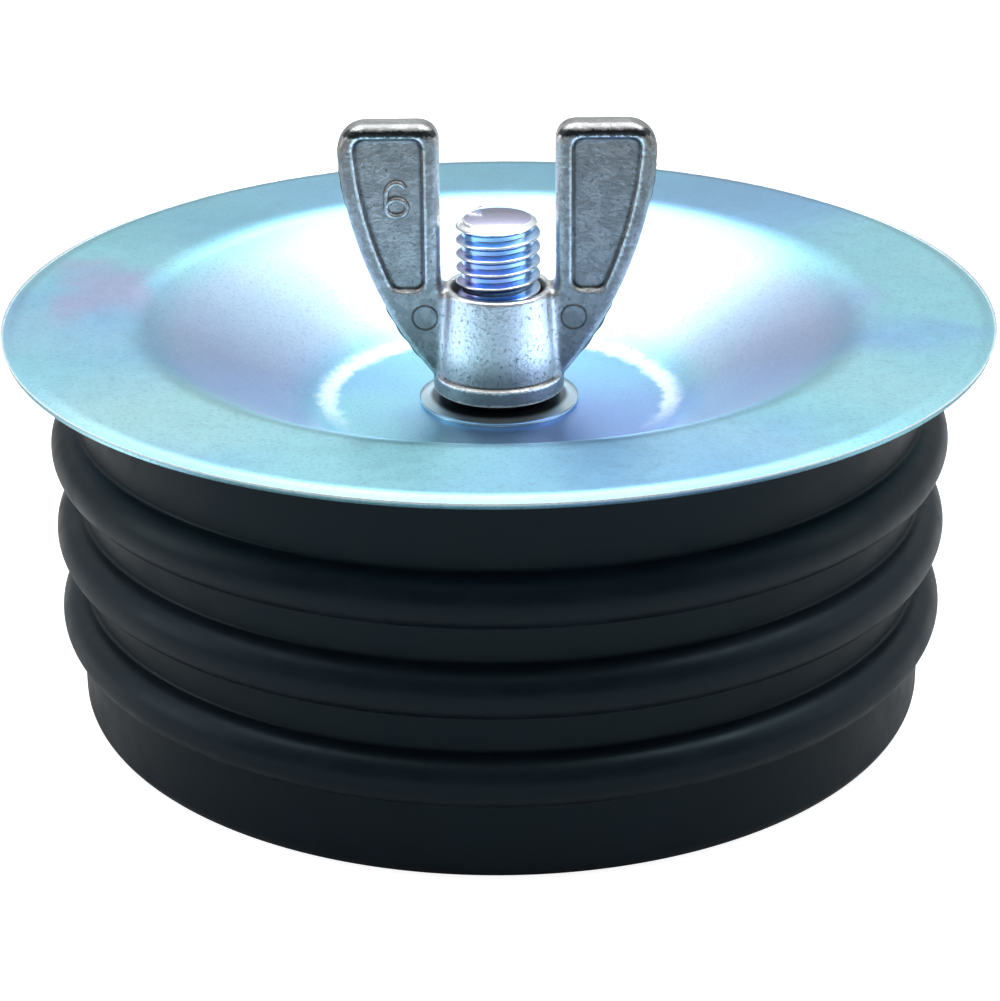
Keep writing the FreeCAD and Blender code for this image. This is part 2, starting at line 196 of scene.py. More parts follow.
class PlugStageSettings(bpy.types.PropertyGroup):
    """Floor, lights and camera"""

    lens: FloatProperty(name="Lens", default=99.68, min=10.0, max=300.0, subtype="DISTANCE_CAMERA",
                        description="Focal length in millimetres")
    camera_distance: length("Camera distance", 0.29227, "From the bolt's axis to the camera, level")
    camera_height: length("Camera height", 0.15064, "Height of the camera above the floor")
    camera_tilt: FloatProperty(name="Camera tilt", default=math.radians(66.147), subtype="ANGLE",
                               description="Angle between straight down and the line of sight")
    camera_roll: FloatProperty(name="Camera roll", default=math.radians(-0.45), subtype="ANGLE",
                               description="Turn about the line of sight")
    backdrop: FloatProperty(name="Backdrop", default=0.72, min=0.0, max=5.0,
                            description="Brightness of the surroundings behind the plug")
    room: FloatProperty(name="Room", default=0.20, min=0.0, max=5.0,
                        description="Brightness of the surroundings on the viewer's side")


# Mesh helpers


def mesh_object(name, mesh):
    made = bpy.data.objects.new(name, mesh)
    bpy.context.scene.collection.objects.link(made)
    return made


def polyline_object(name, points):
    """An object whose vertices are a profile's points, in order."""
    mesh = bpy.data.meshes.new(name)
    mesh.from_pydata(points, [(i, i + 1) for i in range(len(points) - 1)], [])
    return mesh_object(name, mesh)


def plain_mesh(made):
    """Turns an object's evaluated shape into its own closed mesh, without modifiers."""
    graph = bpy.context.evaluated_depsgraph_get()
    mesh = bpy.data.meshes.new_from_object(made.evaluated_get(graph), depsgraph=graph)
    made.modifiers.clear()
    made.data = mesh
    mesh.name = made.name
    shape = bmesh.new()
    shape.from_mesh(mesh)
    bmesh.ops.remove_doubles(shape, verts=shape.verts, dist=2e-7)
    bmesh.ops.dissolve_degenerate(shape, dist=1e-8, edges=shape.edges)
    bmesh.ops.recalc_face_normals(shape, faces=shape.faces)
    loose = [edge for edge in shape.edges if len(edge.link_faces) != 2]
    shape.to_mesh(mesh)
    shape.free()
    if loose:
        raise RuntimeError(f"{made.name} isn't closed: {len(loose)} open edges")
    return made


def shade(made, angle=None):
    """Smooth shading, with edges sharper than the angle kept crisp."""
    mesh = made.data
    mesh.shade_smooth()
    if angle is not None:
        mesh.set_sharp_from_angle(angle=math.radians(angle))
    return made


def run_nodes(made, tree, **values):
    """Adds the tree as a modifier and sets its named inputs by identifier."""
    modifier = made.modifiers.new(tree.name, "NODES")
    modifier.node_group = tree
    for socket in tree.interface.items_tree:
        if socket.item_type == "SOCKET" and socket.in_out == "INPUT" and socket.name in values:
            modifier[socket.identifier] = values.pop(socket.name)
    if values:
        raise RuntimeError(f"{tree.name} has no input named {sorted(values)}")
    return plain_mesh(made)


def finished(made, body, stands_for=()):
    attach(made, body)
    if stands_for:
        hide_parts(*stands_for)
    return made


# Profiles, as (radius, height) pairs


def bent(corners, step=math.radians(6)):
    """Points along (radius, height, bend radius) corners, with the bends as short chords."""
    points = [Vector(corners[0][:2])]
    for before, corner, after in zip(corners, corners[1:], corners[2:]):
        apex = Vector(corner[:2])
        back = (Vector(before[:2]) - apex).normalized()
        ahead = (Vector(after[:2]) - apex).normalized()
        half_turn = (math.pi - back.angle(ahead)) / 2
        if corner[2] == 0 or half_turn < 1e-4:
            points.append(apex)
            continue
        centre = apex + (back + ahead).normalized() * corner[2] / math.cos(half_turn)
        start = apex + back * corner[2] * math.tan(half_turn)
        side = start - centre
        turn = 2 * half_turn * (1 if side.x * ahead.y - side.y * ahead.x > 0 else -1)
        count = max(2, math.ceil(2 * half_turn / step))
        for index in range(count + 1):
            points.append(centre + Matrix.Rotation(turn * index / count, 2) @ side)
    points.append(Vector(corners[-1][:2]))
    return points


def dense(points, gap):
    """The same path with no stretch longer than the gap."""
    filled = [points[0]]
    for start, end in zip(points, points[1:]):
        count = max(1, math.ceil((end - start).length / gap))
        filled += [start.lerp(end, (index + 1) / count) for index in range(count)]
    return filled


def arc(centre, radius, start, end, count):
    """Points of an arc from one angle to another, both in radians."""
    angles = [start + (end - start) * index / count for index in range(count + 1)]
    return [centre + Vector((math.cos(a), math.sin(a))) * radius for a in angles]


def shifted_sheet(corners, gap):
    """Corners of the same bent path on the other side of a sheet."""
    points = [Vector(corner[:2]) for corner in corners]
    runs = [(b - a).normalized() for a, b in zip(points, points[1:])]
    sides = [Vector((run.y, -run.x)) for run in runs]
    moved = []
    for index, point in enumerate(points):
        first = sides[max(index - 1, 0)]
        second = sides[min(index, len(sides) - 1)]
        place = point + (first + second) * (gap / (1 + first.dot(second)))
        bend = corners[index][2]
        if bend:
            bend += -gap if runs[index].dot(first) > 0 else gap
        moved.append((place.x, place.y, bend))
    return moved


# Geometry Nodes


class NodeMaker:
    """Adds and links nodes of one node tree."""

    def __init__(self, tree):
        self.tree = tree

    def node(self, kind, *links, **settings):
        """A node whose first inputs are linked or set in order; None leaves an input alone."""
        made = self.tree.nodes.new(kind)
        for key, value in settings.items():
            setattr(made, key, value)
        for socket, value in zip([s for s in made.inputs if s.enabled], links):
            self.feed(socket, value)
        return made

    def feed(self, socket, value):
        if isinstance(value, bpy.types.NodeSocket):
            self.tree.links.new(value, socket)
        elif value is not None:
            socket.default_value = value

    def math(self, operation, *values, clamp=False):
        kind = "ShaderNodeMath"
        return self.node(kind, *values, operation=operation, use_clamp=clamp).outputs[0]


class TreeMaker(NodeMaker):
    """Makes a node group with named inputs and outputs."""

    def __init__(self, name, kind):
        super().__init__(bpy.data.node_groups.new(name, kind))
        self.first = self.tree.nodes.new("NodeGroupInput")
        self.last = self.tree.nodes.new("NodeGroupOutput")

    def input(self, name, kind, default=None):
        socket = self.tree.interface.new_socket(name, in_out="INPUT", socket_type=kind)
        if default is not None:
            socket.default_value = default
        return self.first.outputs[name]

    def output(self, name, kind, source):
        self.tree.interface.new_socket(name, in_out="OUTPUT", socket_type=kind)
        self.tree.links.new(source, self.last.inputs[name])


def turned_tree():
    """Turns the input's points, a profile in the XZ plane, once round the Z axis."""
    maker = TreeMaker("Turned profile", "GeometryNodeTree")
    profile = maker.input("Geometry", "NodeSocketGeometry")
    segments = maker.input("Segments", "NodeSocketInt", 64)
    finish = maker.input("Material", "NodeSocketMaterial")
    count = maker.node("GeometryNodeAttributeDomainSize", profile).outputs["Point Count"]
    around = maker.math("ADD", segments, 1)
    grid = maker.node("GeometryNodeMeshGrid")
    maker.feed(grid.inputs["Vertices X"], around)
    maker.feed(grid.inputs["Vertices Y"], count)
    index = maker.node("GeometryNodeInputIndex").outputs[0]
    column = maker.math("FLOOR", maker.math("DIVIDE", maker.math("ADD", index, 0.5), count))
    row = maker.math("SUBTRACT", index, maker.math("MULTIPLY", column, count))
    place = maker.node("GeometryNodeInputPosition").outputs[0]
    sample = maker.node("GeometryNodeSampleIndex", data_type="FLOAT_VECTOR")
    maker.feed(sample.inputs["Geometry"], profile)
    maker.feed(sample.inputs["Value"], place)
    maker.feed(sample.inputs["Index"], row)
    split = maker.node("ShaderNodeSeparateXYZ", sample.outputs[0])
    angle = maker.math("DIVIDE", maker.math("MULTIPLY", column, math.tau), segments)
    x = maker.math("MULTIPLY", split.outputs["X"], maker.math("COSINE", angle))
    y = maker.math("MULTIPLY", split.outputs["X"], maker.math("SINE", angle))
    spot = maker.node("ShaderNodeCombineXYZ", x, y, split.outputs["Z"]).outputs[0]
    moved = maker.node("GeometryNodeSetPosition")
    maker.feed(moved.inputs["Geometry"], grid.outputs["Mesh"])
    maker.feed(moved.inputs["Position"], spot)
    return close_tree(maker, moved.outputs[0], finish)


def close_tree(maker, shape, finish):
    """Merges doubled points and ends a tree in real geometry with its material."""
    merged = maker.node("GeometryNodeMergeByDistance")
    maker.feed(merged.inputs["Geometry"], shape)
    maker.feed(merged.inputs["Distance"], 2e-7)
    real = maker.node("GeometryNodeRealizeInstances", merged.outputs[0])
    painted = maker.node("GeometryNodeSetMaterial")
    maker.feed(painted.inputs["Geometry"], real.outputs[0])
    maker.feed(painted.inputs["Material"], finish)
    maker.output("Geometry", "NodeSocketGeometry", painted.outputs[0])
    return maker.tree


def thread_tree():
    """A threaded shank: rows of points follow the helix, and clamp to both ends."""
    maker = TreeMaker("Threaded shank", "GeometryNodeTree")
    maker.input("Geometry", "NodeSocketGeometry")
    crest = maker.input("Crest Radius", "NodeSocketFloat")
    root = maker.input("Root Radius", "NodeSocketFloat")
    tip = maker.input("Tip Radius", "NodeSocketFloat")
    pitch = maker.input("Pitch", "NodeSocketFloat")
    low = maker.input("Low End", "NodeSocketFloat")
    high = maker.input("High End", "NodeSocketFloat")
    segments = maker.input("Segments", "NodeSocketInt", 64)
    steps = maker.input("Steps", "NodeSocketInt", 16)
    slope = maker.input("Chamfer Slope", "NodeSocketFloat", 1.7)
    finish = maker.input("Material", "NodeSocketMaterial")

    reach = maker.math("SUBTRACT", high, low)
    turns = maker.math("ADD", maker.math("CEIL", maker.math("DIVIDE", reach, pitch)), 1)
    rows = maker.math("ADD", maker.math("MULTIPLY", turns, steps), 3)
    grid = maker.node("GeometryNodeMeshGrid")
    maker.feed(grid.inputs["Vertices X"], maker.math("ADD", segments, 1))
    maker.feed(grid.inputs["Vertices Y"], rows)
    index = maker.node("GeometryNodeInputIndex").outputs[0]
    column = maker.math("FLOOR", maker.math("DIVIDE", maker.math("ADD", index, 0.5), rows))
    row = maker.math("SUBTRACT", index, maker.math("MULTIPLY", column, rows))
    step = maker.math("DIVIDE", maker.math("SUBTRACT", row, 1), steps)
    turn = maker.math("DIVIDE", column, segments)
    climb = maker.math("SUBTRACT", maker.math("ADD", step, turn), 1)
    free_z = maker.math("ADD", low, maker.math("MULTIPLY", climb, pitch))
    z = maker.math("MINIMUM", maker.math("MAXIMUM", free_z, low), high)

    phase = maker.math("FRACT", maker.math("ADD", step, 10))
    from_root = maker.math("ABSOLUTE", maker.math("SUBTRACT", maker.math("MULTIPLY", phase, 2), 1))
    flank = maker.node("ShaderNodeMapRange", from_root, 0.34, 0.93, 0.0, 1.0).outputs[0]
    soft = maker.node("ShaderNodeMapRange", from_root, 0.30, 0.97, 0.0, 1.0,
                      interpolation_type="SMOOTHSTEP").outputs[0]
    form = maker.math("MULTIPLY", maker.math("ADD", flank, soft), 0.5)
    depth = maker.math("SUBTRACT", crest, root)
    cut_radius = maker.math("ADD", root, maker.math("MULTIPLY", depth, form))
    run_out = maker.math("DIVIDE", maker.math("SUBTRACT", z, low), maker.math("MULTIPLY", pitch, 2),
                         clamp=True)
    rise = maker.math("MULTIPLY", maker.math("SUBTRACT", cut_radius, crest), run_out)
    thread_radius = maker.math("ADD", crest, rise)
    drop = maker.math("MULTIPLY", maker.math("SUBTRACT", high, z), slope)
    cone = maker.math("ADD", tip, drop)
    side = maker.math("MINIMUM", thread_radius, cone)
    at_low = maker.math("LESS_THAN", row, 0.5)
    at_high = maker.math("GREATER_THAN", row, maker.math("SUBTRACT", rows, 1.5))
    inside = maker.math("SUBTRACT", 1.0, maker.math("ADD", at_low, at_high))
    radius = maker.math("MULTIPLY", side, inside)
    end_z = maker.math("ADD", maker.math("MULTIPLY", at_low, low), maker.math("MULTIPLY", at_high, high))
    full_z = maker.math("ADD", maker.math("MULTIPLY", z, inside), end_z)
    angle = maker.math("MULTIPLY", turn, math.tau)
    x = maker.math("MULTIPLY", radius, maker.math("COSINE", angle))
    y = maker.math("MULTIPLY", radius, maker.math("SINE", angle))
    spot = maker.node("ShaderNodeCombineXYZ", x, y, full_z).outputs[0]
    moved = maker.node("GeometryNodeSetPosition")
    maker.feed(moved.inputs["Geometry"], grid.outputs["Mesh"])
    maker.feed(moved.inputs["Position"], spot)
    return close_tree(maker, moved.outputs[0], finish)


def casting_tree():
    """Softens a casting, most in the corner of hub and wings, and stores where it bulges."""
    maker = TreeMaker("Casting skin", "GeometryNodeTree")
    shape = maker.input("Geometry", "NodeSocketGeometry")
    skin = maker.input("Skin Passes", "NodeSocketInt", 3)
    root = maker.input("Root Passes", "NodeSocketInt", 40)
    half_wing = maker.input("Half Wing", "NodeSocketFloat")
    hub = maker.input("Hub Radius", "NodeSocketFloat")
    low = maker.input("Low", "NodeSocketFloat")
    high = maker.input("High", "NodeSocketFloat")
    reach = maker.input("Corner Reach", "NodeSocketFloat")
    wear_depth = maker.input("Wear Depth", "NodeSocketFloat", 0.0001)
    finish = maker.input("Material", "NodeSocketMaterial")
    place = maker.node("GeometryNodeInputPosition").outputs[0]
    split = maker.node("ShaderNodeSeparateXYZ", place)
    off_x = maker.math("SUBTRACT", maker.math("ABSOLUTE", split.outputs["X"]), hub)
    off_y = maker.math("SUBTRACT", maker.math("ABSOLUTE", split.outputs["Y"]), half_wing)
    squares = maker.math("ADD", maker.math("POWER", off_x, 2), maker.math("POWER", off_y, 2))
    far = maker.math("SQRT", squares)
    near = maker.math("SUBTRACT", 1.0, maker.math("DIVIDE", far, reach), clamp=True)
    fade = 0.0006
    above = maker.math("DIVIDE", maker.math("SUBTRACT", split.outputs["Z"], low), fade, clamp=True)
    below = maker.math("DIVIDE", maker.math("SUBTRACT", high, split.outputs["Z"]), fade, clamp=True)
    weight = maker.math("MULTIPLY", near, maker.math("MULTIPLY", above, below))
    blurred = maker.node("GeometryNodeBlurAttribute", data_type="FLOAT_VECTOR")
    maker.feed(blurred.inputs["Value"], place)
    maker.feed(blurred.inputs["Iterations"], root)
    maker.feed(blurred.inputs["Weight"], weight)
    cornered = maker.node("GeometryNodeSetPosition")
    maker.feed(cornered.inputs["Geometry"], shape)
    maker.feed(cornered.inputs["Position"], blurred.outputs[0])
    again = maker.node("GeometryNodeBlurAttribute", data_type="FLOAT_VECTOR")
    maker.feed(again.inputs["Value"], maker.node("GeometryNodeInputPosition").outputs[0])
    maker.feed(again.inputs["Iterations"], skin)
    maker.feed(again.inputs["Weight"], 0.6)
    moved = maker.node("GeometryNodeSetPosition")
    maker.feed(moved.inputs["Geometry"], cornered.outputs[0])
    maker.feed(moved.inputs["Position"], again.outputs[0])
    near_by = maker.node("GeometryNodeBlurAttribute", data_type="FLOAT_VECTOR")
    maker.feed(near_by.inputs["Value"], maker.node("GeometryNodeInputPosition").outputs[0])
    maker.feed(near_by.inputs["Iterations"], 6)
    here = maker.node("GeometryNodeInputPosition").outputs[0]
    step = maker.node("ShaderNodeVectorMath", near_by.outputs[0], here, operation="SUBTRACT")
    facing = maker.node("GeometryNodeInputNormal").outputs[0]
    rise = maker.node("ShaderNodeVectorMath", step.outputs[0], facing, operation="DOT_PRODUCT")
    relief = maker.math("DIVIDE", rise.outputs["Value"], wear_depth)
    kept = maker.node("GeometryNodeStoreNamedAttribute", data_type="FLOAT", domain="POINT")
    maker.feed(kept.inputs["Geometry"], moved.outputs[0])
    maker.feed(kept.inputs["Name"], "relief")
    maker.feed(kept.inputs["Value"], relief)
    return close_tree(maker, kept.outputs[0], finish)


def ridge_tree():
    """Round strokes along the input's edges, with a signed level that the casting's finish reads: above
    zero as rubbing and a painted highlight, below zero as grime and painted shade.
    """
    maker = TreeMaker("Cast ridge", "GeometryNodeTree")
    line = maker.input("Geometry", "NodeSocketGeometry")
    radius = maker.input("Radius", "NodeSocketFloat")
    sides = maker.input("Sides", "NodeSocketInt", 10)
    wear_and_shading = maker.input("Wear", "NodeSocketFloat", 0.6)
    finish = maker.input("Material", "NodeSocketMaterial")
    curve = maker.node("GeometryNodeMeshToCurve")
    maker.feed(curve.inputs["Mesh"], line)
    ring = maker.node("GeometryNodeCurvePrimitiveCircle")
    maker.feed(ring.inputs["Resolution"], sides)
    maker.feed(ring.inputs["Radius"], radius)
    swept = maker.node("GeometryNodeCurveToMesh")
    maker.feed(swept.inputs["Curve"], curve.outputs[0])
    maker.feed(swept.inputs["Profile Curve"], ring.outputs[0])
    maker.feed(swept.inputs["Fill Caps"], True)
    kept = maker.node("GeometryNodeStoreNamedAttribute", data_type="FLOAT", domain="POINT")
    maker.feed(kept.inputs["Geometry"], swept.outputs[0])
    maker.feed(kept.inputs["Name"], "relief")
    maker.feed(kept.inputs["Value"], maker.math("MULTIPLY", wear_and_shading, -1.0))
    return close_tree(maker, kept.outputs[0], finish)


# Shader groups


def sheen_group():
    """Colour bands of zinc plating: slow drifts between three tints, and thin rubbed streaks."""
    maker = TreeMaker("Plating sheen", "ShaderNodeTree")
    base = maker.input("Base", "NodeSocketColor")
    second = maker.input("Second", "NodeSocketColor")
    third = maker.input("Third", "NodeSocketColor")
    scale = maker.input("Scale", "NodeSocketFloat", 20.0)
    spread = maker.input("Third Amount", "NodeSocketFloat", 0.5)
    place = maker.node("ShaderNodeTexCoord").outputs["Object"]
    slow = noise(maker, place, scale, detail=2.0, warp=0.6)
    first_mix = mix(maker, ramp(maker, slow, 0.40, 0.62), base, second)
    other = noise(maker, place, maker.math("MULTIPLY", scale, 0.83), detail=1.0, warp=1.2, seed=7.3)
    third_mask = maker.math("MULTIPLY", ramp(maker, other, 0.50, 0.68), spread)
    maker.output("Color", "NodeSocketColor", mix(maker, third_mask, first_mix, third))
    maker.output("Mask", "NodeSocketFloat", slow)
    return maker.tree


def patch_group():
    """Mask of one soft oval patch, centred at a place and fading out to its edge."""
    maker = TreeMaker("Soft patch", "ShaderNodeTree")
    centre = maker.input("Centre", "NodeSocketVector")
    spread = maker.input("Spread", "NodeSocketVector", (0.01, 0.01, 0.01))
    place = maker.node("ShaderNodeTexCoord").outputs["Object"]
    wobble = maker.node("ShaderNodeTexNoise")
    maker.feed(wobble.inputs["Vector"], place)
    maker.feed(wobble.inputs["Scale"], 90.0)
    maker.feed(wobble.inputs["Detail"], 3.0)
    shift = maker.node("ShaderNodeVectorMath", wobble.outputs["Color"], (0.5, 0.5, 0.5),
                       operation="SUBTRACT").outputs[0]
    small = maker.node("ShaderNodeVectorMath", shift, (0.016, 0.016, 0.0), operation="MULTIPLY")
    moved = maker.node("ShaderNodeVectorMath", place, small.outputs[0], operation="ADD")
    off = maker.node("ShaderNodeVectorMath", moved.outputs[0], centre, operation="SUBTRACT")
    scaled = maker.node("ShaderNodeVectorMath", off.outputs[0], spread, operation="DIVIDE")
    far = maker.node("ShaderNodeVectorMath", scaled.outputs[0], operation="LENGTH")
    maker.output("Mask", "NodeSocketFloat", ramp(maker, far.outputs["Value"], 1.0, 0.2))
    return maker.tree


def speckle_group():
    """Fine grain: soft mottling, dark pits and a height for bump."""
    maker = TreeMaker("Fine grain", "ShaderNodeTree")
    scale = maker.input("Scale", "NodeSocketFloat", 900.0)
    pits = maker.input("Pit Amount", "NodeSocketFloat", 0.3)
    place = maker.node("ShaderNodeTexCoord").outputs["Object"]
    grain = noise(maker, place, scale, detail=4.0, rough=0.65)
    coarse = noise(maker, place, maker.math("MULTIPLY", scale, 0.23), detail=3.0, rough=0.6, seed=3.1)
    holes = ramp(maker, grain, 0.62, 0.72)
    maker.output("Mottle", "NodeSocketFloat", coarse)
    maker.output("Grain", "NodeSocketFloat", grain)
    maker.output("Pits", "NodeSocketFloat", maker.math("MULTIPLY", holes, pits))
    sunk = maker.math("SUBTRACT", grain, maker.math("MULTIPLY", holes, 0.5))
    maker.output("Height", "NodeSocketFloat", sunk)
    return maker.tree


def dust_group():
    """A few bright specks of dust."""
    maker = TreeMaker("Dust specks", "ShaderNodeTree")
    scale = maker.input("Scale", "NodeSocketFloat", 250.0)
    amount = maker.input("Amount", "NodeSocketFloat", 0.1)
    place = maker.node("ShaderNodeTexCoord").outputs["Object"]
    cells = maker.node("ShaderNodeTexVoronoi", feature="F1")
    maker.feed(cells.inputs["Vector"], place)
    maker.feed(cells.inputs["Scale"], scale)
    picked = maker.node("ShaderNodeSeparateColor", cells.outputs["Color"]).outputs[0]
    rare = maker.math("LESS_THAN", picked, amount)
    size = maker.math("LESS_THAN", cells.outputs["Distance"], 0.09)
    maker.output("Mask", "NodeSocketFloat", maker.math("MULTIPLY", rare, size))
    return maker.tree


def noise(maker, place, scale, detail=2.0, rough=0.5, warp=0.0, seed=0.0):
    """A noise value, shifted by the seed so that several differ."""
    moved = maker.node("ShaderNodeVectorMath", place, (seed, seed * 0.7, -seed), operation="ADD")
    made = maker.node("ShaderNodeTexNoise")
    maker.feed(made.inputs["Vector"], moved.outputs[0])
    maker.feed(made.inputs["Scale"], scale)
    maker.feed(made.inputs["Detail"], detail)
    maker.feed(made.inputs["Roughness"], rough)
    maker.feed(made.inputs["Distortion"], warp)
    return made.outputs["Fac"]


def ramp(maker, value, low, high):
    return maker.node("ShaderNodeMapRange", value, low, high, 0.0, 1.0,
                      interpolation_type="SMOOTHSTEP").outputs[0]


def mix(maker, factor, first, second):
    made = maker.node("ShaderNodeMix", data_type="RGBA")
    maker.feed(made.inputs["Factor"], factor)
    maker.feed(made.inputs[6], first)
    maker.feed(made.inputs[7], second)
    return made.outputs[2]


class MaterialMaker(NodeMaker):
    """Adds and links nodes of one material round its shader."""

    def __init__(self, name):
        self.material = bpy.data.materials.new(name)
        self.material.use_nodes = True
        super().__init__(self.material.node_tree)
        self.shader = self.tree.nodes["Principled BSDF"]

    def set(self, **values):
        for name, value in values.items():
            self.feed(self.shader.inputs[name.replace("_", " ")], value)

    def group(self, tree, **values):
        made = self.tree.nodes.new("ShaderNodeGroup")
        made.node_tree = tree
        for name, value in values.items():
            self.feed(made.inputs[name.replace("_", " ")], value)
        return made

    def place(self, axis):
        """The object's own coordinate along one axis."""
        split = self.node("ShaderNodeSeparateXYZ", self.node("ShaderNodeTexCoord").outputs["Object"])
        return split.outputs[axis]

    def bump(self, height, strength, distance):
        made = self.node("ShaderNodeBump")
        self.feed(made.inputs["Strength"], strength)
        self.feed(made.inputs["Distance"], distance)
        self.feed(made.inputs["Height"], height)
        self.feed(self.shader.inputs["Normal"], made.outputs[0])


def shared(name, make):
    """A node group or material built once and found by name after that."""
    for store in (bpy.data.node_groups, bpy.data.materials):
        if name in store:
            return store[name]
    return make()


def rgba(value):
    return (*value, 1.0)


def dimmed(colour_value, share):
    """A colour made darker, or lighter with a share above one."""
    return rgba(value * share for value in colour_value)


def from_axis(maker):
    """Distance from the bolt's axis."""
    place = maker.node("ShaderNodeTexCoord").outputs["Object"]
    flat = maker.node("ShaderNodeVectorMath", place, (1, 1, 0), operation="MULTIPLY")
    return maker.node("ShaderNodeVectorMath", flat.outputs[0], operation="LENGTH").outputs["Value"]


def plated_steel():
    """Bright zinc plate: a sheen in patches, a paler cone, a ring at the bend that is partly rubbed
    metal and partly painted highlight, and a near-white rim edge that is partly bare cut steel and
    partly painted highlight.
    """
    plate = bpy.context.scene.plug_plate
    maker = MaterialMaker("Plated sheet")
    sheen = maker.group(shared("Plating sheen", sheen_group), Base=rgba(plate.teal),
                        Second=rgba(plate.blue), Third=rgba(plate.pale),
                        Scale=26.0, Third_Amount=0.30)
    tone = sheen.outputs["Color"]
    patch = shared("Soft patch", patch_group)
    for centre, spread, tint, amount in SHEEN_PATCHES:
        spot = maker.group(patch, Centre=centre, Spread=spread)
        mask = maker.math("MULTIPLY", spot.outputs["Mask"], amount)
        tone = mix(maker, mask, tone, rgba(tint))
    out = from_axis(maker)
    floor, mouth, rim = plate.floor_radius, plate.mouth_radius, TOP_HIGH.x
    risen = ramp(maker, out, floor, floor + 0.0050)
    cone = maker.math("MULTIPLY", risen, ramp(maker, out, mouth, mouth - 0.0055))
    tone = mix(maker, maker.math("MULTIPLY", cone, 0.7), tone, rgba(plate.lavender))

    grain = maker.group(shared("Fine grain", speckle_group), Scale=2600.0, Pit_Amount=0.05)
    ragged = maker.math("MULTIPLY", maker.math("SUBTRACT", grain.outputs["Mottle"], 0.5), 0.0022)
    edge = maker.math("ADD", out, ragged)
    # The ring at the bend to the dish's floor: whitened and rougher as rubbed metal, and whitened as a
    # painted highlight that fades towards the viewer.
    inner, outer = floor - 0.0021, floor + 0.0012
    rising = ramp(maker, edge, inner, inner + 0.0012)
    rubbed_bend_and_highlight = maker.math("MULTIPLY", rising, ramp(maker, edge, outer, outer - 0.0014))
    away = ramp(maker, maker.place("Y"), -0.013, 0.0)
    rubbed_bend_and_highlight = maker.math("MULTIPLY", maker.math("MULTIPLY", rubbed_bend_and_highlight, away), 0.5)
    tone = mix(maker, rubbed_bend_and_highlight, tone, (0.92, 0.95, 0.96, 1))
    # The rim's edge painted near-white: partly bare cut steel, partly a painted highlight.
    bare_edge_and_highlight = ramp(maker, out, rim - 0.0004, rim - 0.0001)
    tone = mix(maker, bare_edge_and_highlight, tone, (0.94, 0.97, 0.97, 1))
    brushed = maker.math("MULTIPLY", ramp(maker, grain.outputs["Grain"], 0.45, 0.75), 0.45)
    tone = mix(maker, brushed, tone, (0.16, 0.30, 0.38, 1))
    rough = maker.math("ADD", maker.math("MULTIPLY", grain.outputs["Mottle"], 0.10), 0.27)
    rough = maker.math("ADD", rough, maker.math("MULTIPLY", rubbed_bend_and_highlight, 0.28))
    maker.set(Base_Color=tone, Metallic=1.0, Roughness=rough)
    maker.bump(grain.outputs["Grain"], 0.22, 0.00004)
    return maker.material


def plated_washer():
    """The washer's plating, greyer than the plate's, with a painted shadow under the nut's collar."""
    maker = MaterialMaker("Plated washer")
    sheen = maker.group(shared("Plating sheen", sheen_group), Base=(0.50, 0.60, 0.62, 1),
                        Second=(0.40, 0.52, 0.58, 1), Third=(0.60, 0.62, 0.62, 1),
                        Scale=90.0, Third_Amount=0.5)
    grain = maker.group(shared("Fine grain", speckle_group), Scale=2600.0, Pit_Amount=0.2)
    pitted = mix(maker, grain.outputs["Pits"], sheen.outputs["Color"], (0.2, 0.24, 0.26, 1))
    # Painted shadow, nearly black, under the nut's collar.
    outside, under_collar = 0.0080, 0.0074
    shadowed = ramp(maker, from_axis(maker), outside, under_collar)
    shadowed = maker.math("MULTIPLY", shadowed, 0.9)
    pitted = mix(maker, shadowed, pitted, (0.02, 0.025, 0.03, 1))
    maker.set(Base_Color=pitted, Metallic=1.0, Roughness=0.3)
    maker.bump(grain.outputs["Height"], 0.2, 0.00004)
    return maker.material


def plated_bolt():
    """The bolt's plating: blue flanks, bare crests and chamfer, a violet end."""
    bolt = bpy.context.scene.plug_bolt
    maker = MaterialMaker("Plated bolt")
    sheen = maker.group(shared("Plating sheen", sheen_group), Base=(0.36, 0.55, 0.80, 1),
                        Second=(0.18, 0.36, 0.68, 1), Third=(0.52, 0.42, 0.68, 1),
                        Scale=130.0, Third_Amount=0.6)
    grain = maker.group(shared("Fine grain", speckle_group), Scale=2200.0, Pit_Amount=0.3)
    pitted = mix(maker, grain.outputs["Pits"], sheen.outputs["Color"], (0.10, 0.13, 0.22, 1))
    out, height, top = from_axis(maker), maker.place("Z"), BOLT_HIGH.z
    crest = ramp(maker, out, bolt.crest_radius - 0.00020, bolt.crest_radius - 0.00006)
    chamfer = ramp(maker, height, top - 0.0009, top - 0.0006)
    off_face = ramp(maker, out, bolt.tip_radius - 0.0002, bolt.tip_radius)
    bare = maker.math("MAXIMUM", crest, maker.math("MULTIPLY", chamfer, off_face))
    pitted = mix(maker, bare, pitted, (0.88, 0.92, 0.95, 1))
    end = ramp(maker, height, top - 0.0001, top - 0.00002)
    on_face = ramp(maker, out, bolt.tip_radius, bolt.tip_radius - 0.0002)
    pitted = mix(maker, maker.math("MULTIPLY", end, on_face), pitted, (0.50, 0.50, 0.68, 1))
    maker.set(Base_Color=pitted, Metallic=1.0, Roughness=0.26)
    maker.bump(grain.outputs["Height"], 0.25, 0.00003)
    return maker.material


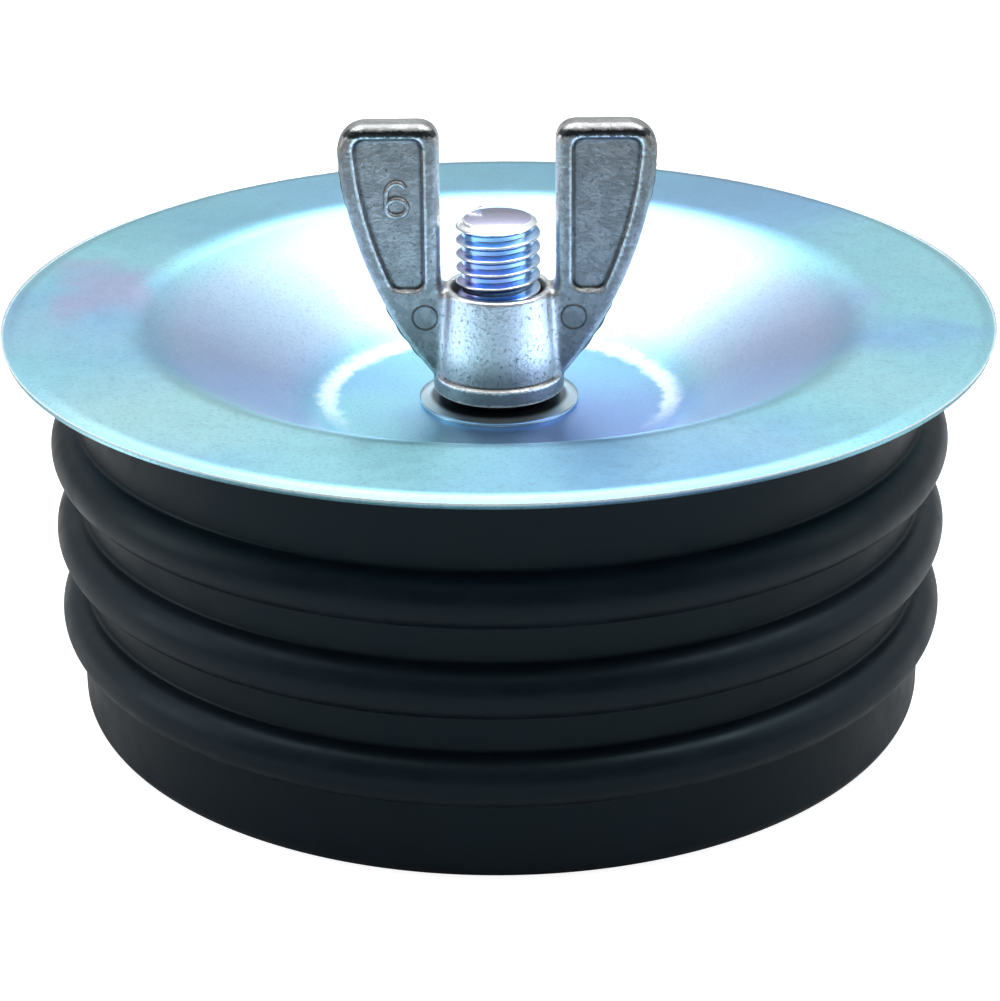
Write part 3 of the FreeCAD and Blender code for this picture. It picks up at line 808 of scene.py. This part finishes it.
def cast_zinc():
    """Satin die-cast zinc: a smooth hub with painted shade towards its foot and on its collar, cloudy
    wings, a painted dark reflection along the wings' front top edges, painted shade in the bore and
    under the collar, hollows darkened by grime and painted shade, edges lightened by rubbing and a
    painted highlight.
    """
    nut = bpy.context.scene.plug_nut
    maker = MaterialMaker("Cast zinc")
    grain = maker.group(shared("Fine grain", speckle_group), Scale=2300.0, Pit_Amount=0.6)
    fine, mottle = grain.outputs["Height"], grain.outputs["Mottle"]
    out, front, height = from_axis(maker), maker.place("Y"), maker.place("Z")
    zinc, low, high = nut.zinc, NUT_LOW.z, NUT_HIGH.z

    wing = ramp(maker, out, 0.0066, 0.0076)
    cloud = maker.math("MULTIPLY", ramp(maker, mottle, 0.45, 0.55), wing)
    # Painted shade: the hub darkens towards its foot, and the collar darker still.
    raised = ramp(maker, height, low + 0.0032, low + 0.0070)
    hub_tone = mix(maker, raised, dimmed(zinc, 0.72), dimmed(zinc, 1.9))
    tone = mix(maker, wing, hub_tone, rgba(zinc))
    collar = ramp(maker, height, low + 0.0030, low + 0.0026)
    tone = mix(maker, collar, tone, dimmed(zinc, 0.72))
    sandy = maker.math("MULTIPLY", ramp(maker, grain.outputs["Grain"], 0.48, 0.70), 0.5)
    tone = mix(maker, sandy, tone, dimmed(zinc, 0.45))
    tone = mix(maker, cloud, tone, dimmed(zinc, 0.76))
    pitted = mix(maker, grain.outputs["Pits"], tone, (0.05, 0.06, 0.065, 1))

    # Painted shade, nearly black, down the bore and in the gap under the collar.
    bore = maker.math("MULTIPLY", ramp(maker, out, 0.0057, 0.0051), 0.9)
    gap = maker.math("MULTIPLY", ramp(maker, height, low + 0.00095, low + 0.0007), 0.95)
    # Painted dark reflection in a ragged band along the front of the wings' top edges.
    uneven = maker.math("MULTIPLY", maker.math("SUBTRACT", fine, 0.4), 0.0009)
    level = maker.math("ADD", height, uneven)
    dark_edge_reflection = ramp(maker, level, high - 0.0014, high - 0.0011)
    dark_edge_reflection = maker.math("MULTIPLY", dark_edge_reflection, ramp(maker, level, high - 0.0004, high - 0.0006))
    dark_edge_reflection = maker.math("MULTIPLY", dark_edge_reflection, ramp(maker, front, -0.0006, -0.0012))
    dark = maker.math("MAXIMUM", bore, gap)
    dark = maker.math("MAXIMUM", dark, maker.math("MULTIPLY", dark_edge_reflection, 0.92))
    pitted = mix(maker, dark, pitted, (0.012, 0.015, 0.018, 1))

    # Relief from the casting and its strokes: hollows darken as grime and painted shade, bulges and
    # edges lighten as rubbing and a painted highlight, except on the painted darks.
    relief = maker.node("ShaderNodeAttribute", attribute_name="relief").outputs["Fac"]
    hollow = maker.math("MULTIPLY", ramp(maker, relief, 0.10, 0.75), 0.9)
    grimy_and_shaded = mix(maker, hollow, pitted, (0.02, 0.025, 0.03, 1))
    worn_and_highlit = ramp(maker, maker.math("ADD", relief, maker.math("SUBTRACT", fine, 0.4)), -0.20, -0.80)
    clean = maker.math("SUBTRACT", 0.85, maker.math("MULTIPLY", dark, 0.85))
    worn_and_highlit = maker.math("MULTIPLY", worn_and_highlit, clean)
    bright = mix(maker, worn_and_highlit, grimy_and_shaded, (0.86, 0.89, 0.90, 1))
    rough = maker.math("ADD", maker.math("MULTIPLY", wing, 0.05), 0.33)
    maker.set(Base_Color=bright, Metallic=1.0, Roughness=rough)
    maker.bump(fine, 0.8, 0.00010)
    return maker.material


def moulded_rubber():
    """Matt black rubber with a fine mould texture and a few specks of dust."""
    ring = bpy.context.scene.plug_ring
    maker = MaterialMaker("Moulded rubber")
    grain = maker.group(shared("Fine grain", speckle_group), Scale=700.0, Pit_Amount=0.0)
    dust = maker.group(shared("Dust specks", dust_group), Scale=330.0, Amount=0.012)
    cloud = ramp(maker, grain.outputs["Mottle"], 0.35, 0.65)
    tone = mix(maker, cloud, dimmed(ring.black, 0.8), rgba(ring.black))
    dusty = mix(maker, dust.outputs["Mask"], tone, (0.45, 0.47, 0.48, 1))
    rough = maker.math("ADD", maker.math("MULTIPLY", cloud, 0.10), 0.36)
    maker.set(Base_Color=dusty, Roughness=rough, Specular_IOR_Level=0.18,
              Specular_Tint=(0.62, 0.90, 1.0, 1))
    maker.bump(grain.outputs["Height"], 0.15, 0.00012)
    return maker.material


def studio_floor():
    """A floor that is white for the viewer and grey in reflections."""
    maker = MaterialMaker("Studio floor")
    seen = maker.node("ShaderNodeLightPath").outputs["Is Camera Ray"]
    glow = mix(maker, seen, (0, 0, 0, 1), (1, 1, 1, 1))
    shown = mix(maker, seen, (0.50, 0.50, 0.50, 1), (0.55, 0.55, 0.55, 1))
    maker.set(Base_Color=shown, Roughness=1.0, Specular_IOR_Level=0.0, Emission_Color=glow,
              Emission_Strength=0.92)
    return maker.material


# Pieces


def turned_piece(name, profile, segments, finish):
    """A closed profile of (radius, height) points turned round the axis."""
    points = [(point.x, 0.0, point.y) for point in profile]
    made = polyline_object(name, points)
    tree = shared("Turned profile", turned_tree)
    return run_nodes(made, tree, Segments=segments, Material=finish)


def ring_profile(ring):
    """The ring's cross-section: beads outside, seats for both plates inside."""
    top, band = RING_HIGH.z, ring.radius
    hem = band + ring.hem_thickness
    reach, fillet = ring.bead_radius, ring.crease_round
    crease_rise = math.sqrt((reach + fillet) ** 2 - fillet ** 2)
    lean = math.atan2(crease_rise, fillet)
    outside = [Vector((band, top))]
    for index in range(ring.bead_count):
        height = top - ring.top_bead_drop - index * ring.bead_pitch
        centre = Vector((band, height))
        upper = centre + Vector((fillet, crease_rise))
        lower = centre + Vector((fillet, -crease_rise))
        outside += arc(upper, fillet, math.pi, math.pi + lean, 5)
        if index < ring.bead_count - 1:
            outside += arc(centre, reach, lean, -lean, 26)[1:-1]
            outside += arc(lower, fillet, math.pi - lean, math.pi, 5)
            continue
        drop = math.sqrt((reach + fillet) ** 2 - (fillet + ring.hem_thickness) ** 2)
        low_lean = math.atan2(drop, fillet + ring.hem_thickness)
        low = centre + Vector((fillet + ring.hem_thickness, -drop))
        outside += arc(centre, reach, lean, -low_lean, 26)[1:-1]
        outside += arc(low, fillet, math.pi - low_lean, math.pi, 5)
    lip_inner, lower_face, seat = hem - ring.lip_width, ring.lower_face, ring.seat_radius
    lip_round = 0.001
    plate = bpy.context.scene.plug_plate
    slope = plate.dish_depth / (plate.mouth_radius - plate.floor_radius)
    rise = (seat - ring.bore_radius) * slope
    under = bent([(hem, outside[-1].y, 0), (hem, 0, ring.hem_round), (lip_inner, 0, 0)])
    inner = bent([
        (lip_inner, 0, 0),
        (lip_inner, lower_face, 0),
        (seat, lower_face, plate.mouth_bend),
        (ring.bore_radius, lower_face + rise * ring.lower_slope, lip_round),
        (ring.bore_radius, top - rise, lip_round),
        (seat, top, plate.mouth_bend),
        (band, top, 0),
    ])
    profile = dense(outside, LONGEST_STEP) + under[1:] + inner[1:]
    profile[-1] = profile[0].copy()
    return profile


class PLUG_OT_rubber_ring(bpy.types.Operator):
    """Makes the beaded rubber ring"""

    bl_idname = "plug.rubber_ring"
    bl_label = "Rubber ring"

    def execute(self, context):
        ring = context.scene.plug_ring
        finish = shared("Moulded rubber", moulded_rubber)
        made = turned_piece("beaded_ring", ring_profile(ring), ring.segments, finish)
        shade(made, 40)
        finished(made, "seal", ["rubber_ring"])
        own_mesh(made)
        return {"FINISHED"}


class PLUG_OT_plates(bpy.types.Operator):
    """Makes the dished top plate and the washer, and plates the lower one"""

    bl_idname = "plug.plates"
    bl_label = "Plates and washer"

    def execute(self, context):
        plate = context.scene.plug_plate
        finish = shared("Plated sheet", plated_steel)
        rim = TOP_HIGH.x
        upper = [
            (rim, 0, 0),
            (plate.mouth_radius, 0, plate.mouth_bend),
            (plate.floor_radius, -plate.dish_depth, plate.floor_bend),
            (plate.hole_radius, -plate.dish_depth, 0),
        ]
        lower = shifted_sheet(upper, -SHEET)
        lower[-1] = (plate.hole_radius, lower[-1][1], 0)
        fine, coarse = math.radians(3), math.radians(20)
        edge_round, hole_round, reach, margin = 0.0002, 0.00012, 0.001, 0.0005
        floor, hole = -plate.dish_depth, plate.hole_radius
        top = dense(bent(upper, fine), LONGEST_STEP)
        under = dense(bent(lower, fine), LONGEST_STEP)
        rim_edge = bent([(rim - reach, -SHEET, 0), (rim, -SHEET, edge_round),
                         (rim, 0, edge_round), (rim - reach, 0, 0)], coarse)
        hole_edge = bent([(hole + reach, floor, 0), (hole, floor, hole_round),
                          (hole, floor - SHEET, hole_round), (hole + reach, floor - SHEET, 0)],
                         coarse)
        profile = rim_edge[1:-1] + [p for p in top if hole + margin < p.x < rim - margin]
        profile += hole_edge[1:-1]
        profile += [p for p in reversed(under) if hole + margin < p.x < rim - margin]
        profile = [Vector((p.x, p.y + TOP_HIGH.z)) for p in profile]
        made = turned_piece("dished_plate", profile + [profile[0].copy()], plate.segments, finish)
        finished(shade(made, 50), "clamp", ["top_plate"])

        low, high, outer = WASHER_LOW.z, WASHER_HIGH.z, WASHER_HIGH.x
        middle = (outer + hole) / 2
        worn_round, top_round = 0.0001, 0.0003
        corners = [
            (middle, high, 0),
            (hole, high, worn_round),
            (hole, low, worn_round),
            (outer, low, worn_round),
            (outer, high, top_round),
            (middle, high, 0),
        ]
        ring = turned_piece("plain_washer", bent(corners, math.radians(15)), 128,
                            shared("Plated washer", plated_washer))
        finished(shade(ring, 50), "clamp", ["washer"])

        lower_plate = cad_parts["bottom_plate"]
        for slot in lower_plate.material_slots:
            slot.material = finish
        return {"FINISHED"}


class PLUG_OT_bolt(bpy.types.Operator):
    """Makes the carriage bolt: thread, square neck and domed head"""

    bl_idname = "plug.bolt"
    bl_label = "Carriage bolt"

    def execute(self, context):
        bolt = context.scene.plug_bolt
        finish = shared("Plated bolt", plated_bolt)
        shank = polyline_object("threaded_shank", [(0, 0, 0), (0, 0, 0.001)])
        run_nodes(shank, shared("Threaded shank", thread_tree), **{
            "Crest Radius": bolt.crest_radius,
            "Root Radius": bolt.root_radius,
            "Tip Radius": bolt.tip_radius,
            "Pitch": bolt.pitch,
            "Low End": bolt.thread_start,
            "High End": BOLT_HIGH.z,
            "Segments": bolt.segments,
            "Steps": bolt.steps,
            "Chamfer Slope": bolt.chamfer_slope,
            "Material": finish,
        })
        finished(shade(shank, 38), "seal", ["carriage_bolt"])

        burr = line_object("thread_burr", [thread_burr(bolt)])
        run_nodes(burr, shared("Cast ridge", ridge_tree), Radius=bolt.burr_radius, Sides=10,
                  Material=finish)
        finished(shade(burr, 60), "seal")

        seat = BOLT_HIGH.z - bolt.length
        head_rim, head_edge = BOLT_HIGH.x, bolt.head_edge
        dome = seat - head_edge - BOLT_LOW.z
        ball = (head_rim ** 2 + dome ** 2) / (2 * dome)
        half = math.asin(head_rim / ball)
        centre = Vector((0, BOLT_LOW.z + ball))
        profile = arc(centre, ball, -math.pi / 2, -math.pi / 2 + half, 24)
        profile[0].x = 0
        shank_top = bolt.thread_start + 0.0003
        profile += bent([(head_rim, seat - head_edge, 0), (head_rim, seat, 0.0003),
                         (bolt.crest_radius, seat, 0), (bolt.crest_radius, shank_top, 0.0002),
                         (0, shank_top, 0)])[1:]
        head = turned_piece("domed_head", profile, 128, finish)
        finished(shade(head, 40), "seal")

        neck_mesh = bpy.data.meshes.new("square_neck")
        shape = bmesh.new()
        bmesh.ops.create_cube(shape, size=1.0)
        neck_size = (bolt.neck_width, bolt.neck_width, bolt.neck_height)
        bmesh.ops.scale(shape, vec=neck_size, verts=shape.verts)
        bmesh.ops.translate(shape, vec=(0, 0, seat + bolt.neck_height / 2), verts=shape.verts)
        upright = [e for e in shape.edges if abs(e.verts[0].co.z - e.verts[1].co.z) > 0.001]
        bmesh.ops.bevel(shape, geom=upright, offset=bolt.neck_corner, segments=5, profile=0.5,
                        affect="EDGES")
        bmesh.ops.recalc_face_normals(shape, faces=shape.faces)
        shape.to_mesh(neck_mesh)
        shape.free()
        neck = mesh_object("square_neck", neck_mesh)
        neck.data.materials.append(finish)
        finished(shade(neck, 30), "seal")
        return {"FINISHED"}


class PLUG_OT_wing_nut(bpy.types.Operator):
    """Makes the die-cast wing nut with its parting line and raised number"""

    bl_idname = "plug.wing_nut"
    bl_label = "Wing nut"

    def execute(self, context):
        nut = context.scene.plug_nut
        finish = shared("Cast zinc", cast_zinc)
        made = mesh_object("cast_nut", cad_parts["wing_nut"].data.copy())
        shape = bmesh.new()
        shape.from_mesh(made.data)
        bmesh.ops.remove_doubles(shape, verts=shape.verts, dist=1e-7)
        shape.to_mesh(made.data)
        shape.free()
        remesh = made.modifiers.new("Grain", "REMESH")
        remesh.mode = "VOXEL"
        remesh.voxel_size = nut.voxel
        remesh.adaptivity = 0.0
        made.data.materials.clear()
        run_nodes(made, shared("Casting skin", casting_tree), **{
            "Skin Passes": nut.skin_passes,
            "Root Passes": nut.root_passes,
            "Half Wing": nut.half_wing,
            "Hub Radius": nut.hub_radius,
            "Low": NUT_LOW.z + nut.corner_low,
            "High": NUT_LOW.z + nut.corner_high,
            "Corner Reach": nut.corner_reach,
            "Wear Depth": nut.wear_depth,
            "Material": finish,
        })
        finished(shade(made), "nut", ["wing_nut"])

        fins = mesh_object("parting_fins", parting_fins())
        fins.data.materials.append(finish)
        finished(shade(fins, 30), "nut")
        # The last value sets the strokes' relief tone: below zero darkens the pin marks as grime and
        # painted shade, above zero lightens the number as rubbing and a painted highlight.
        for name, points, radius, wear_and_shading in (
            ("pin_marks", pin_marks(), nut.pin_stroke, -0.5),
            ("cavity_number", cavity_number(), nut.number_stroke, 0.45),
        ):
            strokes = line_object(name, points)
            run_nodes(strokes, shared("Cast ridge", ridge_tree), Radius=radius, Sides=12,
                      Wear=wear_and_shading, Material=finish)
            finished(shade(strokes, 60), "nut")
        return {"FINISHED"}


def line_object(name, strokes):
    """An object of separate strokes; a stroke that ends where it starts is a closed loop."""
    points, edges = [], []
    for stroke in strokes:
        closed = (Vector(stroke[0]) - Vector(stroke[-1])).length < 1e-7
        kept = stroke[:-1] if closed else stroke
        first = len(points)
        points += kept
        edges += [(first + i, first + i + 1) for i in range(len(kept) - 1)]
        if closed:
            edges.append((len(points) - 1, first))
    mesh = bpy.data.meshes.new(name)
    mesh.from_pydata(points, edges, [])
    return mesh_object(name, mesh)


def thread_burr(bolt):
    """The rolled thread's start, lifted into a burr at the back left of the bolt's end."""
    start, turn, steps = 192, 74, 18
    points = []
    for index in range(steps + 1):
        along = index / steps
        angle = math.radians(start - turn * along)
        radius = bolt.tip_radius + 0.0006 - 0.0005 * along
        height = BOLT_HIGH.z - 0.0008 + 0.0011 * along
        points.append((radius * math.cos(angle), radius * math.sin(angle), height))
    return points


def circle(centre, width, height, count):
    """A closed loop of points in the XZ plane: an oval round the centre."""
    x, y, z = centre
    angles = [math.tau * index / count for index in range(count + 1)]
    return [(x + width * math.cos(a), y, z + height * math.sin(a)) for a in angles]


def pin_marks():
    """Rings left by the ejector pins, low on the front of both wings."""
    radius, front, height = 0.0014, -0.00203, 0.0446
    return [circle((x, front, height), radius, radius, 40) for x in (-0.0082, 0.0084)]


def cavity_number():
    """The raised 6 in the left wing's panel: a bowl and a hooked stroke above it."""
    x, y, z = -0.01110, -0.00164, 0.05725
    wide, tall = 0.00116, 0.00098
    hook_width, hook_height, hook_turn, steps = 0.00122, 0.00158, 2.45, 20
    hook_x, hook_z = x + 0.00006, z + 0.00125
    lean = [math.pi - hook_turn * index / steps for index in range(steps + 1)]
    hook = [(hook_x + hook_width * math.cos(a), y, hook_z + hook_height * math.sin(a)) for a in lean]
    stem = [(x - wide, y, z + 0.00013), (x - wide, y, z + 0.0006)]
    return [circle((x, y, z), wide, tall, 32), stem + hook]


def parting_fins():
    """Thin fins of flash along the parting line on the back of both wings."""
    tip, foot = NUT_HIGH.z, NUT_LOW.z + 0.00275
    half_span, foot_x, inset, steps = 0.0176, 0.00746, 0.0004, 24
    root_half, crest_half = 0.00009, 0.00004
    lean = half_span - foot_x
    back = (lean ** 2 + (tip - foot) ** 2) / (2 * lean)
    points, faces = [], []
    for side in (-1, 1):
        for low, high, proud in FLASH_STRETCHES:
            first = len(points)
            for index in range(steps + 1):
                along = index / steps
                height = low + (high - low) * along
                reach = half_span - back + math.sqrt(back ** 2 - (tip - height) ** 2)
                swell = 0.35 + 0.65 * math.sin(math.pi * along) ** 0.5
                swell *= 1 + 0.18 * math.sin(19 * along + 2 * side)
                out, inner = reach + proud * swell, reach - inset
                for x, y in ((inner, -root_half), (out, -crest_half),
                             (out, crest_half), (inner, root_half)):
                    points.append((side * x, y, height))
            for index in range(steps):
                a = first + 4 * index
                for corner in range(4):
                    b = (corner + 1) % 4
                    faces.append((a + corner, a + b, a + 4 + b, a + 4 + corner))
            end = first + 4 * steps
            faces.append((first, first + 3, first + 2, first + 1))
            faces.append((end, end + 1, end + 2, end + 3))
    mesh = bpy.data.meshes.new("parting_fins")
    mesh.from_pydata(points, [], faces)
    shape = bmesh.new()
    shape.from_mesh(mesh)
    bmesh.ops.recalc_face_normals(shape, faces=shape.faces)
    shape.to_mesh(mesh)
    shape.free()
    return mesh


class PLUG_OT_stage(bpy.types.Operator):
    """Sets up the floor, the soft lights and the camera"""

    bl_idname = "plug.stage"
    bl_label = "Stage"

    def execute(self, context):
        stage = context.scene.plug_stage
        half = 6.0
        mesh = bpy.data.meshes.new("floor")
        mesh.from_pydata([(-half, -half, 0), (half, -half, 0), (half, half, 0), (-half, half, 0)],
                         [], [(0, 1, 2, 3)])
        floor = mesh_object("floor", mesh)
        floor.data.materials.append(studio_floor())

        context.scene.world = surroundings(stage)
        context.scene.view_settings.view_transform = "Standard"
        for light in STUDIO_LIGHTS:
            soft_light(*light)

        data = bpy.data.cameras.new("Camera")
        data.lens = stage.lens
        data.sensor_width = 36.0
        data.clip_start, data.clip_end = 0.01, 50.0
        camera = bpy.data.objects.new("Camera", data)
        context.scene.collection.objects.link(camera)
        tilt = Matrix.Rotation(stage.camera_tilt, 4, "X")
        roll = Matrix.Rotation(stage.camera_roll, 4, "Z")
        spot = Matrix.Translation((0, -stage.camera_distance, stage.camera_height))
        camera.matrix_world = spot @ tilt @ roll
        context.scene.camera = camera
        return {"FINISHED"}


def surroundings(stage):
    """A world that is bright high behind the plug and dim on the viewer's side."""
    world = bpy.data.worlds.new("Studio")
    world.use_nodes = True
    maker = NodeMaker(world.node_tree)
    toward = maker.node("ShaderNodeTexCoord").outputs["Generated"]
    split = maker.node("ShaderNodeSeparateXYZ", toward)
    behind = ramp(maker, split.outputs["Y"], -0.30, 0.35)
    climb = maker.node("ShaderNodeMapRange", split.outputs["Z"], 0.24, 0.43, 0.42, 1.0).outputs[0]
    light = maker.math("MULTIPLY", maker.math("MULTIPLY", behind, climb), stage.backdrop)
    light = maker.math("ADD", light, stage.room)
    seen = maker.node("ShaderNodeLightPath").outputs["Is Camera Ray"]
    strength = maker.math("MAXIMUM", light, seen)
    back = world.node_tree.nodes["Background"]
    back.inputs["Color"].default_value = (0.95, 0.98, 1.0, 1)
    maker.feed(back.inputs["Strength"], strength)
    return world


def soft_light(name, place, target, size, power):
    """A rectangular area light at a place, turned to face the target."""
    data = bpy.data.lights.new(name, "AREA")
    data.shape = "RECTANGLE"
    data.size, data.size_y = size
    data.energy = power
    made = bpy.data.objects.new(name, data)
    bpy.context.scene.collection.objects.link(made)
    made.location = place
    aim = Vector(target) - Vector(place)
    made.rotation_euler = aim.to_track_quat("-Z", "Y").to_euler()
    return made


class PLUG_PT_panel(bpy.types.Panel):
    """Lists the plug's pieces and their settings"""

    bl_idname = "PLUG_PT_panel"
    bl_label = "Pipe plug"
    bl_space_type = "VIEW_3D"
    bl_region_type = "UI"
    bl_category = "Pipe plug"

    def draw(self, context):
        for operator in OPERATORS:
            self.layout.operator(operator.bl_idname)
        for name in GROUPS:
            settings = getattr(context.scene, name)
            box = self.layout.box()
            box.label(text=settings.bl_rna.description)
            for key in settings.__annotations__:
                box.prop(settings, key)


GROUPS = {
    "plug_ring": PlugRingSettings,
    "plug_plate": PlugPlateSettings,
    "plug_bolt": PlugBoltSettings,
    "plug_nut": PlugNutSettings,
    "plug_stage": PlugStageSettings,
}
OPERATORS = (
    PLUG_OT_rubber_ring,
    PLUG_OT_plates,
    PLUG_OT_bolt,
    PLUG_OT_wing_nut,
    PLUG_OT_stage,
)


def register():
    for made in (*GROUPS.values(), *OPERATORS, PLUG_PT_panel):
        bpy.utils.register_class(made)
    for name, group in GROUPS.items():
        setattr(bpy.types.Scene, name, bpy.props.PointerProperty(type=group))
    bpy.types.Scene.plug_press_travel = length("Press travel", 0.006, "How far the top plate comes down")


def unregister():
    del bpy.types.Scene.plug_press_travel
    for name in GROUPS:
        delattr(bpy.types.Scene, name)
    for made in (PLUG_PT_panel, *reversed(OPERATORS), *reversed(GROUPS.values())):
        bpy.utils.unregister_class(made)


def main():
    register()
    bpy.ops.plug.rubber_ring()
    bpy.ops.plug.plates()
    bpy.ops.plug.bolt()
    bpy.ops.plug.wing_nut()
    bpy.ops.plug.stage()


if __name__ == "__main__":
    main()
